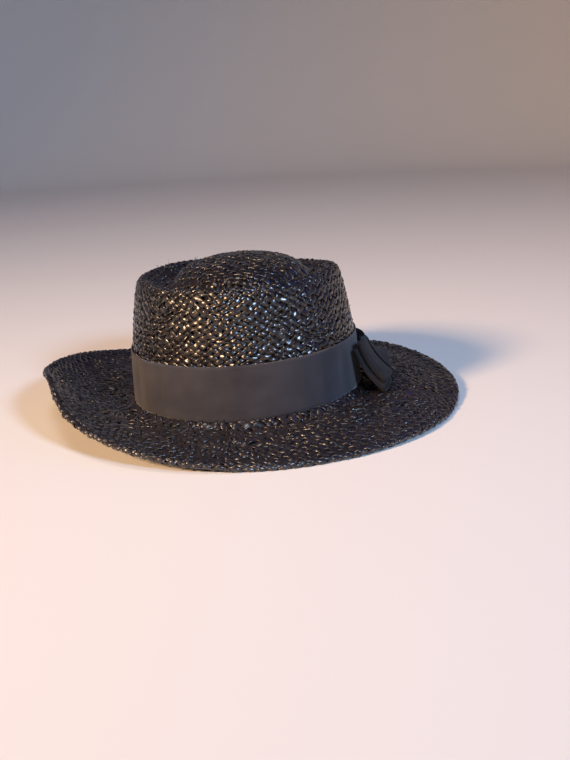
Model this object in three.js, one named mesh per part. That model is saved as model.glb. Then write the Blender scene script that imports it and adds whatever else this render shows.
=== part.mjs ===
// A woven straw hat: telescope crown, brim rolled up on the wearer's right,
// ribbon band, and a flat ribbon bow on the wearer's left.
// Millimetres, +Z up. The face side is towards -Y, the wearer's left towards +X.
import * as THREE from 'three';

// Band and wall. The band's foot is an oval, and every other size is set off from it.
const BAND_WIDTH = 171;
const BAND_LENGTH = 204;
const RIBBON_WIDTH = 38;
const RIBBON_THICK = 1;
const STRAW_THICK = 2.2;
const GAP = 0.3;
const AROUND = 66;

// Brim, measured along its curve from the band to the tip of its rolled edge
const BRIM_WIDTH = 73;
const BRIM_SEAT = -1.3;
const BRIM_CURL = 1.5;
const EDGE_RADIUS = 2.2;
const EDGE_TUCK = 9;
const BRIM_AROUND = 96;

// The hat stands on three low stretches of its rolled edge, so its crown leans a little
const LEAN_BACK = 0.64;
const LEAN_RIGHT = 2.17;
const PRESSED_FLAT = 0.25;

// Bow. It leans out from the band like a tent, with its lower edge on the brim, and
// its back half lies flatter than its face half.
const BOW_TOP = 29;
const BOW_STAND_OFF = 0.9;
const BOW_LEAN_TOP = 18;
const BOW_LEAN_FOOT = 52;
const BACK_LOWER = 5;
const BACK_LEAN = 14;
const BACK_LENGTH = 40;
const KNOT_WIDTH = 14;
const KNOT_LOW = 4;
const KNOT_HIGH = 35;
const GATHER_LENGTH = 26;
const RIBBON_ROWS = [0, 0.35, 0.7, 1];

// The crest dips on the wearer's left, towards the back
const CREST_DIP = 6.2;
const CREST_DIP_AT = 56;

// Crown wall: height above the band's foot, how far the oval has drawn in there, and
// the share of the crest's dip. It ends on the crest, runs down inside it, and stops
// in the groove.
const CROWN_WALL = [
  { height: 0.1, inset: 0.0, dip: 0 },
  { height: 13.0, inset: 0.3, dip: 0 },
  { height: 26.0, inset: 0.8, dip: 0 },
  { height: 38.1, inset: 1.4, dip: 0 },
  { height: 50.0, inset: 2.9, dip: 0.05 },
  { height: 62.0, inset: 4.7, dip: 0.2 },
  { height: 74.0, inset: 6.7, dip: 0.5 },
  { height: 82.0, inset: 8.3, dip: 0.8 },
  { height: 86.0, inset: 9.9, dip: 1 },
  { height: 88.1, inset: 12.0, dip: 1 },
  { height: 88.7, inset: 14.8, dip: 1 },
  { height: 87.4, inset: 18.2, dip: 0.9 },
  { height: 84.4, inset: 22.0, dip: 0.6 },
  { height: 82.3, inset: 26.0, dip: 0.35 },
  { height: 81.8, inset: 30.0, dip: 0.2 },
];

// Dome: share of its own oval, and height above the band's foot. Its oval is narrower
// than the groove's, and it lies a little towards the wearer's left.
const DOME_NARROW = 0.953;
const DOME_SHIFT = 1.6;
const CROWN_DOME = [
  { share: 0.93, height: 84.0 },
  { share: 0.88, height: 88.0 },
  { share: 0.81, height: 91.2 },
  { share: 0.7, height: 93.7 },
  { share: 0.55, height: 95.9 },
  { share: 0.37, height: 97.6 },
  { share: 0.19, height: 98.7 },
];
const CROWN_HEIGHT = 99;

// Brim: the slope in degrees where it leaves the band, and at its edge.
// The angle runs from the wearer's left, by the back, to the right and the face side.
const BRIM_SLOPES = [
  { angle: 0.0, start: -3, end: -17 },
  { angle: 22.5, start: -3, end: -10 },
  { angle: 45.0, start: -2, end: -4 },
  { angle: 67.5, start: -2, end: -6 },
  { angle: 90.0, start: -2, end: -8 },
  { angle: 112.5, start: -1, end: -4 },
  { angle: 135.0, start: 1, end: 20 },
  { angle: 157.5, start: 3, end: 39 },
  { angle: 180.0, start: 5, end: 48 },
  { angle: 202.5, start: 5, end: 59 },
  { angle: 225.0, start: 3, end: 25 },
  { angle: 247.5, start: 0, end: 0 },
  { angle: 270.0, start: -4, end: -13 },
  { angle: 292.5, start: -5, end: -17 },
  { angle: 315.0, start: -4, end: -19 },
  { angle: 337.5, start: -3, end: -25 },
];

// Bow's two loops: half length, and how far each is raised at its face and back ends
const BOW_LOOPS = [
  { loop: 'lower', halfLength: 47, raisedFace: 0, raisedBack: 0 },
  { loop: 'upper', halfLength: 43, raisedFace: 4, raisedBack: 0.5 },
];

// Bow: how far the middles of its four ribbon layers stand off its back, at
// distances from its middle
const BOW_LAYERS = [
  { distance: 0, lowerIn: 0.5, lowerOut: 1.7, upperIn: 3.2, upperOut: 4.4 },
  { distance: 8, lowerIn: 0.5, lowerOut: 1.7, upperIn: 3.2, upperOut: 4.4 },
  { distance: 20, lowerIn: 0.7, lowerOut: 2.7, upperIn: 4.4, upperOut: 6.2 },
  { distance: 34, lowerIn: 0.8, lowerOut: 2.8, upperIn: 4.6, upperOut: 6.6 },
  { distance: 47, lowerIn: 0.8, lowerOut: 2.6, upperIn: 4.3, upperOut: 6.2 },
];

const straw = new THREE.MeshStandardMaterial({ color: 0x2a2624, roughness: 0.35 });
const strawBrim = new THREE.MeshStandardMaterial({ color: 0x27241f, roughness: 0.4 });
const grosgrain = new THREE.MeshStandardMaterial({ color: 0x34313a, roughness: 0.9 });
const grosgrainBow = new THREE.MeshStandardMaterial({ color: 0x2c2c38, roughness: 0.9 });

const radians = THREE.MathUtils.degToRad;

// Value of a table's column at a place between its rows, in straight lines
function between(rows, key, column, at) {
  const last = rows.length - 1;
  let i = 0;
  while (i < last - 1 && rows[i + 1][key] < at) i += 1;
  const span = rows[i + 1][key] - rows[i][key];
  const share = THREE.MathUtils.clamp((at - rows[i][key]) / span, 0, 1);
  return THREE.MathUtils.lerp(rows[i][column], rows[i + 1][column], share);
}

// Value of a column of the brim's table at an angle, on a smooth closed curve
function brimSlope(column, angle) {
  const step = 360 / BRIM_SLOPES.length;
  const place = (((angle % 360) + 360) % 360) / step;
  const i = Math.floor(place);
  const t = place - i;
  const row = (k) => BRIM_SLOPES[(i + k + BRIM_SLOPES.length) % BRIM_SLOPES.length][column];
  const [p, q, r, s] = [row(-1), row(0), row(1), row(2)];
  const rise = (r - p) / 2;
  const fall = (s - q) / 2;
  const cubic = 2 * q - 2 * r + rise + fall;
  const square = -3 * q + 3 * r - 2 * rise - fall;
  return ((cubic * t + square) * t + rise) * t + q;
}

// Closed body from rings of points. Rings join to the next one, and the last to the
// first unless the body starts and ends in a pole, where the end rings are one point.
function bodyFromRings(rings, poles) {
  const positions = [];
  const start = [];
  for (const ring of rings) {
    start.push(positions.length / 3);
    for (const p of ring) positions.push(p.x, p.y, p.z);
  }
  const index = [];
  const count = Math.max(...rings.map((ring) => ring.length));
  const joins = poles ? rings.length - 1 : rings.length;
  for (let i = 0; i < joins; i += 1) {
    const j = (i + 1) % rings.length;
    for (let k = 0; k < count; k += 1) {
      const next = (k + 1) % count;
      const here = (n) => start[i] + (rings[i].length > 1 ? n : 0);
      const there = (n) => start[j] + (rings[j].length > 1 ? n : 0);
      if (rings[i].length > 1) index.push(here(k), there(k), here(next));
      if (rings[j].length > 1) index.push(here(next), there(k), there(next));
    }
  }
  const geometry = new THREE.BufferGeometry();
  geometry.setAttribute('position', new THREE.Float32BufferAttribute(positions, 3));
  geometry.setIndex(index);
  geometry.computeVertexNormals();
  return geometry;
}

// Oval ring of points with half sizes a and b at one height, less its share of the dip,
// and shifted along X
function ovalRing(a, b, height, dip, shift = 0) {
  const ring = [];
  for (let k = 0; k < AROUND; k += 1) {
    const turn = (2 * Math.PI * k) / AROUND;
    const facing = Math.max(0, Math.cos(turn - radians(CREST_DIP_AT)));
    const z = height - CREST_DIP * dip * facing ** 2;
    ring.push(new THREE.Vector3(shift + a * Math.cos(turn), b * Math.sin(turn), z));
  }
  return ring;
}

const crownHalfWidth = BAND_WIDTH / 2 - RIBBON_THICK - GAP;
const crownHalfLength = BAND_LENGTH / 2 - RIBBON_THICK - GAP;

// Crown's meridian from the middle of the dome down to the foot of the wall
function crownMeridian() {
  const groove = CROWN_WALL[CROWN_WALL.length - 1];
  const grooveWidth = crownHalfWidth - groove.inset;
  const grooveLength = crownHalfLength - groove.inset;
  const dome = CROWN_DOME.map((row) => ({
    a: grooveWidth * DOME_NARROW * row.share,
    b: grooveLength * row.share,
    z: row.height,
    dip: 0,
    shift: DOME_SHIFT,
  }));
  const wall = CROWN_WALL.map((row) => ({
    a: crownHalfWidth - row.inset,
    b: crownHalfLength - row.inset,
    z: row.height,
    dip: row.dip,
    shift: 0,
  }));
  const top = { a: 0, b: 0, z: CROWN_HEIGHT, dip: 0, shift: DOME_SHIFT };
  return [top, ...dome.reverse(), ...wall.reverse()];
}

// Inner face: each row of the meridian moved in by the straw's thickness
function innerMeridian(outer) {
  return outer.map((row, i) => {
    const before = outer[Math.max(i - 1, 0)];
    const after = outer[Math.min(i + 1, outer.length - 1)];
    const along = new THREE.Vector2(after.a - before.a, after.z - before.z).normalize();
    const foot = i === outer.length - 1;
    if (i === 0) return { ...row, z: row.z - STRAW_THICK };
    const inward = foot ? new THREE.Vector2(-1, 0) : new THREE.Vector2(along.y, -along.x);
    return {
      ...row,
      a: row.a + STRAW_THICK * inward.x,
      b: row.b + STRAW_THICK * inward.x,
      z: row.z + STRAW_THICK * inward.y,
    };
  });
}

function crownGeometry() {
  const outer = crownMeridian();
  const inner = innerMeridian(outer);
  const rows = [...outer, ...inner.reverse()];
  const rings = rows.map((row) => {
    if (row.a === 0) return [new THREE.Vector3(row.shift, 0, row.z)];
    return ovalRing(row.a, row.b, row.z, row.dip, row.shift);
  });
  return bodyFromRings(rings, true);
}

// Hat band: a closed ribbon ring that follows the lowest rows of the crown's wall
function bandGeometry() {
  const rows = CROWN_WALL.filter((row) => row.height <= RIBBON_WIDTH + GAP);
  const ringAt = (row, off) =>
    ovalRing(crownHalfWidth - row.inset + off, crownHalfLength - row.inset + off, row.height, 0);
  const outer = rows.map((row) => ringAt(row, GAP + RIBBON_THICK));
  const inner = rows.map((row) => ringAt(row, GAP));
  return bodyFromRings([...outer.reverse(), ...inner], false);
}

// Brim's section at one angle: its middle line starts on the band's foot and turns
// from the start slope to the end slope, and it ends in a rolled edge
function brimSection(angle) {
  const turn = radians(angle);
  const foot = new THREE.Vector3(
    (BAND_WIDTH / 2) * Math.cos(turn),
    (BAND_LENGTH / 2) * Math.sin(turn),
    BRIM_SEAT,
  );
  const out = new THREE.Vector3(
    Math.cos(turn) / BAND_WIDTH,
    Math.sin(turn) / BAND_LENGTH,
    0,
  ).normalize();
  const start = radians(brimSlope('start', angle));
  const end = radians(brimSlope('end', angle));
  const length = BRIM_WIDTH - EDGE_RADIUS;
  const slopeAt = (share) => start + (end - start) * share ** BRIM_CURL;
  const steps = 64;
  const middle = [{ across: 0, up: 0 }];
  for (let i = 1; i <= steps; i += 1) {
    const slope = slopeAt((i - 0.5) / steps);
    const step = length / steps;
    const last = middle[i - 1];
    middle.push({
      across: last.across + step * Math.cos(slope),
      up: last.up + step * Math.sin(slope),
    });
  }
  const point = (across, up) =>
    foot.clone().addScaledVector(out, across).add(new THREE.Vector3(0, 0, up));
  const halfThick = (share) => {
    const tuck = THREE.MathUtils.smoothstep(share * length, length - EDGE_TUCK, length);
    return THREE.MathUtils.lerp(STRAW_THICK / 2, EDGE_RADIUS, tuck);
  };
  const face = (share, side) => {
    const at = middle[Math.round(share * steps)];
    const slope = slopeAt(share);
    const off = side * halfThick(share);
    return point(at.across - off * Math.sin(slope), at.up + off * Math.cos(slope));
  };
  const inset = -(RIBBON_THICK + GAP + STRAW_THICK);
  const shares = [0, 0.1875, 0.375, 0.5625, 0.75, 0.875, 0.9375, 1];
  const top = shares.map((share) => face(share, 1));
  const under = shares.map((share) => face(share, -1));
  const rolled = [-45, 0, 45].map((around) => {
    const slope = slopeAt(1) + radians(around);
    const tip = middle[steps];
    return point(
      tip.across + EDGE_RADIUS * Math.cos(slope),
      tip.up + EDGE_RADIUS * Math.sin(slope),
    );
  });
  const innerTop = point(inset, STRAW_THICK / 2);
  const innerUnder = point(inset, -STRAW_THICK / 2);
  return [innerUnder, ...under, ...rolled, ...top.reverse(), innerTop];
}

// Brim: sections all round, with the lowest stretches pressed flat where they bear
function brimSolid(hat) {
  const rings = [];
  for (let k = 0; k < BRIM_AROUND; k += 1) {
    rings.push(brimSection((360 * k) / BRIM_AROUND));
  }
  const leaned = rings.flat().map((p) => p.clone().applyQuaternion(hat.quaternion));
  const lowest = Math.min(...leaned.map((p) => p.z));
  const floor = lowest + PRESSED_FLAT;
  const back = hat.quaternion.clone().invert();
  for (const p of rings.flat()) {
    p.applyQuaternion(hat.quaternion);
    p.z = Math.max(p.z, floor);
    p.applyQuaternion(back);
  }
  return bodyFromRings(rings, false);
}

// Run of the bow's back at a distance along the band and a height up the ribbon: how
// far it stands out and how high it is there. Its lean grows towards the foot.
function bowRun(distance, up) {
  const flatter = THREE.MathUtils.smoothstep(distance, 0, BACK_LENGTH);
  const steps = 24;
  const step = (RIBBON_WIDTH - up) / steps;
  const run = { out: BOW_STAND_OFF, height: BOW_TOP - BACK_LOWER * flatter, lean: 0 };
  for (let i = 0; i < steps; i += 1) {
    const share = Math.max(0, ((i + 0.5) * step) / RIBBON_WIDTH);
    const lean = THREE.MathUtils.lerp(BOW_LEAN_TOP, BOW_LEAN_FOOT, share);
    run.lean = radians(lean + BACK_LEAN * flatter);
    run.out += step * Math.sin(run.lean);
    run.height -= step * Math.cos(run.lean);
  }
  return run;
}

// A point of the bow: distance along the band, stand-off from the bow's back, and
// height up the ribbon. The band's side is taken as a round arc there.
const sideRadius = BAND_LENGTH ** 2 / (2 * BAND_WIDTH);
const sideCentre = BAND_WIDTH / 2 - sideRadius;
function bowPoint(distance, off, up) {
  const run = bowRun(distance, up);
  const reach = sideRadius + run.out + off * Math.cos(run.lean);
  const height = run.height + off * Math.sin(run.lean);
  const turn = distance / sideRadius;
  return new THREE.Vector3(sideCentre + reach * Math.cos(turn), reach * Math.sin(turn), height);
}

// Lower and upper edge of a loop's ribbon, gathered between the knot's edges there
function ribbonEdges(distance, row) {
  const start = KNOT_WIDTH / 2;
  const share = THREE.MathUtils.smoothstep(Math.abs(distance), start, start + GATHER_LENGTH);
  const along = (distance + row.halfLength) / (2 * row.halfLength);
  const raised = THREE.MathUtils.lerp(row.raisedFace, row.raisedBack, along);
  return {
    low: THREE.MathUtils.lerp(KNOT_LOW, raised, share),
    high: THREE.MathUtils.lerp(KNOT_HIGH, RIBBON_WIDTH + raised, share),
  };
}

// Closed strip of ribbon along a closed line of { distance, off } points
function closedRibbon(line, row) {
  const count = line.length;
  const rings = line.map((p, i) => {
    const before = line[(i + count - 1) % count];
    const after = line[(i + 1) % count];
    const along = new THREE.Vector2(after.distance - before.distance, after.off - before.off);
    along.normalize().multiplyScalar(RIBBON_THICK / 2);
    const { low, high } = ribbonEdges(p.distance, row);
    const edge = (side, share) => {
      const up = THREE.MathUtils.lerp(low, high, share);
      return bowPoint(p.distance + side * along.y, p.off - side * along.x, up);
    };
    const back = RIBBON_ROWS.map((share) => edge(-1, share));
    const face = RIBBON_ROWS.map((share) => edge(1, share));
    return [...back, ...face.reverse()];
  });
  return bodyFromRings(rings, false);
}

// One loop of the bow: out along its inner layer, round a fold, back along its outer one
function loopGeometry(row) {
  const inKey = `${row.loop}In`;
  const outKey = `${row.loop}Out`;
  const at = (key, distance) => between(BOW_LAYERS, 'distance', key, Math.abs(distance));
  const foldIn = at(inKey, row.halfLength);
  const foldOut = at(outKey, row.halfLength);
  const radius = (foldOut - foldIn) / 2;
  const straight = row.halfLength - radius - RIBBON_THICK / 2;
  const places = [-1, -0.72, -0.45, -0.2, 0, 0.2, 0.45, 0.72, 1].map((s) => s * straight);
  const inner = places.map((distance) => ({ distance, off: at(inKey, distance) }));
  const outer = places.map((distance) => ({ distance, off: at(outKey, distance) })).reverse();
  const fold = (side) =>
    [-45, 0, 45].map((around) => ({
      distance: side * (straight + radius * Math.cos(radians(around))),
      off: (foldIn + foldOut) / 2 + side * radius * Math.sin(radians(around)),
    }));
  return closedRibbon([...inner, ...fold(1), ...outer, ...fold(-1)], row);
}

// Knot: a short ribbon wrapped round the middle of both loops
function knotGeometry() {
  const half = RIBBON_THICK / 2;
  const low = KNOT_LOW - GAP - half;
  const high = KNOT_HIGH + GAP + half;
  const back = BOW_LAYERS[0].lowerIn - half - GAP - half;
  const front = BOW_LAYERS[0].upperOut + half + GAP + half;
  const middle = (back + front) / 2;
  const ups = RIBBON_ROWS.map((share) => THREE.MathUtils.lerp(low, high, share));
  const face = ups.map((up) => ({ off: front, up }));
  const behind = ups.map((up) => ({ off: back, up }));
  const line = [{ off: middle, up: low }, ...face, { off: middle, up: high }, ...behind.reverse()];
  const rings = line.map((p) => {
    const outOff = Math.sign(p.off - middle) * half;
    const outUp = (p.up === high) - (p.up === low);
    const edge = (share, side) =>
      bowPoint(share * KNOT_WIDTH, p.off + side * outOff, p.up + side * outUp * half);
    return [edge(-0.5, -1), edge(0, -1), edge(0.5, -1), edge(0.5, 1), edge(0, 1), edge(-0.5, 1)];
  });
  return bodyFromRings(rings, false);
}

function piece(name, geometry, material) {
  const mesh = new THREE.Mesh(geometry, material);
  mesh.name = name;
  return mesh;
}

// The pieces are made upright on the band's foot, and the group leans them as they stand
const hat = new THREE.Group();
hat.rotation.set(-radians(LEAN_BACK), -radians(LEAN_RIGHT), 0);
hat.add(piece('crown', crownGeometry(), straw));
hat.add(piece('brim', brimSolid(hat), strawBrim));
hat.add(piece('hat_band', bandGeometry(), grosgrain));
for (const row of BOW_LOOPS) {
  hat.add(piece(`bow_${row.loop}_loop`, loopGeometry(row), grosgrainBow));
}
hat.add(piece('bow_knot', knotGeometry(), grosgrainBow));

// The origin is the middle of the hat's box, on the surface that it stands on
const box = new THREE.Box3().setFromObject(hat, true);
const centre = box.getCenter(new THREE.Vector3());
hat.position.set(-centre.x, -centre.y, -box.min.z);

const model = new THREE.Group();
model.add(hat);

export default model;
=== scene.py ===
# A black straw hat, woven on the bias, with a ribbon band and a flat bow, standing on
# its brim. Shapes are worked out in millimetres in the hat's own frame: the origin is
# the middle of the band's foot, -Y is the face side and +X the wearer's left.
import math

import bpy
import numpy as np
from mathutils import Matrix, Vector


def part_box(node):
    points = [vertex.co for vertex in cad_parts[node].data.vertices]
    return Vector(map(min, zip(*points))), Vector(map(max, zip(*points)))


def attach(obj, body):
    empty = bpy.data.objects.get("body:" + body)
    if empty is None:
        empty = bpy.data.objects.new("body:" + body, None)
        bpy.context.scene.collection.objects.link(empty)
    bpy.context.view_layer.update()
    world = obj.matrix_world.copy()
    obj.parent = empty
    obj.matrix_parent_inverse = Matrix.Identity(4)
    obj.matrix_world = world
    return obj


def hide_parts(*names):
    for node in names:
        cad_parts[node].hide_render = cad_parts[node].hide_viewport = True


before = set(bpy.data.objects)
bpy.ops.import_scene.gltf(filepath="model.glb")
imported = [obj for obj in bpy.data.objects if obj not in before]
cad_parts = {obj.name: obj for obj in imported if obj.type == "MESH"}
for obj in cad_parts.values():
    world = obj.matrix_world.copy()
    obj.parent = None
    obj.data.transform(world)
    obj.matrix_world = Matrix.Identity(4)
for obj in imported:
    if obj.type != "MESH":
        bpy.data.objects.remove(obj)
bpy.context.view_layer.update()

# Camera: a long lens a little above the brim, on the face side, with the view rolled
# as the photograph is. The distance is an arm's length and a half.
EYE_MM = Vector((17.05, -870.75, 240.76))
EYE_TURN = 0.544
EYE_DOWN = 14.671
EYE_ROLL = -2.806
LENS_MM = 75.02

turn, down, roll = (math.radians(x) for x in (EYE_TURN, EYE_DOWN, EYE_ROLL))
ahead = Vector((math.sin(turn) * math.cos(down), math.cos(turn) * math.cos(down), -math.sin(down)))
level = Vector((math.cos(turn), -math.sin(turn), 0))
over = level.cross(ahead)
right = level * math.cos(roll) + over * math.sin(roll)
upward = right.cross(ahead)
eye = bpy.data.objects.new("eye", bpy.data.cameras.new("eye"))
eye.data.lens = LENS_MM
eye.data.sensor_width = 36
eye.data.sensor_fit = "HORIZONTAL"
eye.data.clip_start = 0.05
eye.matrix_world = Matrix((right, upward, -ahead)).transposed().to_4x4()
eye.location = EYE_MM / 1000
bpy.context.scene.collection.objects.link(eye)
bpy.context.scene.camera = eye

# Crown wall: straw strips about 4 mm wide, plaited over and under on the bias round a
# block, pressed into a crest and down into the groove inside it, then lacquered. It
# stands inside the band, whose width and length at its foot set the crown's size.
BAND_WIDTH = 171
BAND_LENGTH = 204
BAND_FOOT = 0.1
BAND_TOP_IN = 1.4
RIBBON_WIDTH = 38
HALF_WALL = 1.1
CROWN_IN = 2.4
LEAN_BACK = 0.64
LEAN_RIGHT = 2.17
CREST_DIP = 6.2
CREST_DIP_AT = 56
WALL_STRIPS = 70
WALL_STEPS = 4
HIDDEN_STEPS = 2
UNDER_RIBBON = 5
PAST_ENDS = 10
CREST_LENGTH = 93
CROSSING = 4.8
WIDEST_HALF = 0.93
STRAW_RISE = 0.6
STRAW_FULL = 0.65
STRAW_HALF = 0.455
STRAW_SECTION = (
    # share of the strip's half width, height in millimetres over its middle
    (-1, -0.36),
    (-0.8, 0.27),
    (-0.42, 0.42),
    (0.42, 0.42),
    (0.8, 0.27),
    (1, -0.36),
)
STRIP_WIDTHS = (0.92, 1.02)
WIDTH_WAVER = 0.04
SLOW_DRIFT = 0.05
QUICK_DRIFT = 0.025
LIFT_WAVER = 0.1
LATTICE_WAVES = 14
WAVES_AROUND = (0.07, 0.28)
WAVES_ALONG = 0.14
# Waver of the crossings' places, of their heights and of their twist
CROWN_UNEVEN = (0.22, 0.3, 0.36)
CROWN_ROWS = (
    # height, how far drawn in, share of the crest's dip
    (-2.0, 0.0, 0.0),
    (0.1, 0.0, 0.0),
    (13.0, 0.3, 0.0),
    (26.0, 0.8, 0.0),
    (38.1, 1.4, 0.0),
    (50.0, 2.9, 0.05),
    (62.0, 4.7, 0.2),
    (74.0, 6.7, 0.5),
    (82.0, 8.3, 0.8),
    (86.0, 9.9, 1.0),
    (88.1, 12.0, 1.0),
    (88.7, 14.8, 1.0),
    (87.4, 18.2, 0.9),
    (84.4, 22.0, 0.6),
    (82.3, 26.0, 0.35),
    (81.8, 30.0, 0.2),
    (81.7, 36.0, 0.1),
)

chance = np.random.default_rng(57)


def lean():
    """Turn about X by the lean to the back, after the turn about Y by the lean right."""
    b, r = math.radians(-LEAN_BACK), math.radians(-LEAN_RIGHT)
    about_x = np.array([[1, 0, 0], [0, math.cos(b), -math.sin(b)], [0, math.sin(b), math.cos(b)]])
    about_y = np.array([[math.cos(r), 0, math.sin(r)], [0, 1, 0], [-math.sin(r), 0, math.cos(r)]])
    return about_x @ about_y


def oval(a, b, turn, height):
    """Points of an oval with half sizes a and b: (a cos, b sin, height)."""
    return np.stack(np.broadcast_arrays(a * np.cos(turn), b * np.sin(turn), height), -1)


def standing():
    """Where the band's foot is: the band's own two edges, leaned, are set on its box."""
    turn = np.linspace(0, 2 * np.pi, 721)
    foot = oval(BAND_WIDTH / 2, BAND_LENGTH / 2, turn, BAND_FOOT)
    top = oval(BAND_WIDTH / 2 - BAND_TOP_IN, BAND_LENGTH / 2 - BAND_TOP_IN, turn, BAND_FOOT + RIBBON_WIDTH)
    edges = np.concatenate([foot, top]) @ lean().T
    low, high = (np.array(corner) * 1000 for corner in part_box("hat_band"))
    return (low + high - edges.min(0) - edges.max(0)) / 2


FOOT_AT = standing()


def stand(points):
    """Leans points of the hat's frame and moves them into the part's frame, in metres."""
    return (points @ lean().T + FOOT_AT) / 1000


def through(rows, per=10):
    """Smooth curve through a table's rows, all columns alike (Catmull-Rom)."""
    rows = np.array(rows, float)
    ends = np.vstack([2 * rows[0] - rows[1], rows, 2 * rows[-1] - rows[-2]])
    t = np.linspace(0, 1, per, endpoint=False)[:, None]
    p, q, r, s = ends[:-3, None], ends[1:-2, None], ends[2:-1, None], ends[3:, None]
    bend = (2 * p - 5 * q + 4 * r - s) * t**2 + (3 * q - p - 3 * r + s) * t**3
    curve = 0.5 * (2 * q + (r - p) * t + bend)
    return np.vstack([curve.reshape(-1, rows.shape[1]), rows[-1]])


def path_length(points):
    """Length along a line of points, from its start to each of them."""
    steps = np.linalg.norm(np.diff(points, axis=0), axis=-1)
    return np.concatenate([[0], np.cumsum(steps)])


def even_turns(ring_at):
    """Turn at each even share of a ring's length, as a function of the share."""
    turn = np.linspace(0, 2 * np.pi, 1441)
    length = path_length(ring_at(turn))
    return lambda share: np.interp(share % 1, length / length[-1], turn) + 2 * np.pi * (share // 1)


def crossing_rows(length, ring_lengths, strips):
    """Rows of crossings along a surface. Strips keep their width and shear instead, so a
    row's height is what a crossing's fixed length leaves over its half width, by the
    rule for a right angle. The half width is held to a share of that length."""
    half = np.minimum(ring_lengths / strips / 2, WIDEST_HALF * CROSSING)
    height = np.sqrt(CROSSING**2 - half**2)
    steps = np.diff(length) / ((height[1:] + height[:-1]) / 2)
    return np.concatenate([[0], np.cumsum(steps)])


def wander(strips, rows, first):
    """Smooth chance value for each strip at each row, with a new one at each crossing."""
    place = np.floor(rows - first).astype(int)
    share = (1 - np.cos(np.pi * ((rows - first) - place))) / 2
    values = chance.normal(size=(strips, place.max() + 3))
    return values[:, place] * (1 - share) + values[:, place + 1] * share


def uneven_lattice(strips, waver):
    """Hand plaiting isn't even: a shift of the crossings, along columns and along rows,
    by a sum of slow waves of chance direction that close round the ring."""
    count = LATTICE_WAVES
    around = np.round(strips * chance.uniform(*WAVES_AROUND, (2, count)))
    along = chance.uniform(-WAVES_ALONG, WAVES_ALONG, (2, count))
    phase = chance.uniform(0, 2 * np.pi, (2, count))
    size = waver * chance.uniform(0.5, 1.5, (2, count)) * math.sqrt(2 / count)

    def shift(col, row):
        """Column and row with every wave's size times the sine of its phase there added."""
        moved = np.zeros((2,) + np.broadcast_shapes(col.shape, row.shape))
        for way in (0, 1):
            for k, m, p, s in zip(around[way], along[way], phase[way], size[way]):
                moved[way] += s * np.sin(np.pi * k * col / strips + 2 * np.pi * m * row + p)
        return col + moved[0], row + moved[1]

    return shift


def plait(surface, strips, first, last, per_crossing, unevenness, facing=1, sink=None, kept=None):
    """Strips plaited over and under. One family runs up to the left and one up to the
    right on a surface of columns and rows, and each rises and falls as the cosine of its
    row, made fuller by a power. A section is flat on top with rounded shoulders. Each
    crossing has its own height, twist and width. Gives points, faces, and coordinates:
    the strip's number and place across it, and centimetres along it."""
    rows = np.arange(first * per_crossing, last * per_crossing + 1) / per_crossing
    waver, bulge, twist = unevenness
    shift = uneven_lattice(strips, waver)
    across, body = np.array(STRAW_SECTION).T
    number = np.arange(strips)[:, None]
    all_points, all_faces, all_coords = [], [], []
    start = 0
    for family, way in enumerate((1, -1)):
        half = STRAW_HALF * chance.uniform(*STRIP_WIDTHS, (strips, 1))
        half = half * (1 + WIDTH_WAVER * wander(strips, rows, first))
        drift = SLOW_DRIFT * wander(strips, rows / 4, first / 4) + QUICK_DRIFT * wander(strips, rows, first)
        column = 2 * number - way * rows + 2 * drift
        wave = np.cos(np.pi * rows)
        wave = np.sign(wave) * np.abs(wave) ** STRAW_FULL
        height = way * STRAW_RISE * wave * (1 + bulge * wander(strips, rows, first))
        height = height + LIFT_WAVER * wander(strips, rows * 0.7, first * 0.7)
        tilt = twist * wander(strips, rows, first)
        if sink is not None:
            height = height + sink(column, rows[None, :], number)
        side = half[..., None] * across
        col, row = shift(column[..., None] + side, rows[None, :, None] + way * side)
        lift = height[..., None] + tilt[..., None] * across + body
        step = 0.04
        along_col = surface(col + step, row) - surface(col - step, row)
        along_row = surface(col, row + step) - surface(col, row - step)
        normal = np.cross(along_col, along_row)
        normal *= facing / np.linalg.norm(normal, axis=-1, keepdims=True)
        points = surface(col, row) + normal * lift[..., None]
        on = np.ones(points.shape[:2], bool) if kept is None else kept(column, rows[None, :])
        index = np.arange(points[..., 0].size).reshape(points.shape[:3])
        ahead = np.roll(index, -1, axis=2)
        quads = np.stack([index[:, :-1], ahead[:, :-1], ahead[:, 1:], index[:, 1:]], -1)
        sides = quads[on[:, :-1] & on[:, 1:]].reshape(-1, 4)
        lone = np.pad(on, ((0, 0), (1, 1)))
        begins = index[on & ~lone[:, :-2] & lone[:, 2:]]
        finishes = index[on & ~lone[:, 2:] & lone[:, :-2]]
        corners = points.reshape(-1, 3)[sides[:, :3]]
        volume = np.einsum("ij,ij->i", corners[:, 0], np.cross(corners[:, 1], corners[:, 2])).sum()
        faces = [sides.tolist(), begins[:, ::-1].tolist(), finishes.tolist()]
        if volume < 0:
            faces = [sides[:, ::-1].tolist(), begins.tolist(), finishes[:, ::-1].tolist()]
        all_faces += [(np.array(f) + start).tolist() for f in faces if len(f)]
        coords = np.empty(points.shape[:3] + (2,))
        coords[..., 0] = (number + family * strips)[..., None] + 0.5 + 0.45 * across
        coords[..., 1] = rows[None, :, None] * CROSSING / 10
        all_points.append(points.reshape(-1, 3))
        all_coords.append(coords.reshape(-1, 2))
        start += points[..., 0].size
    faces = [face for group in all_faces for face in group]
    return np.concatenate(all_points), faces, np.concatenate(all_coords)


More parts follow.
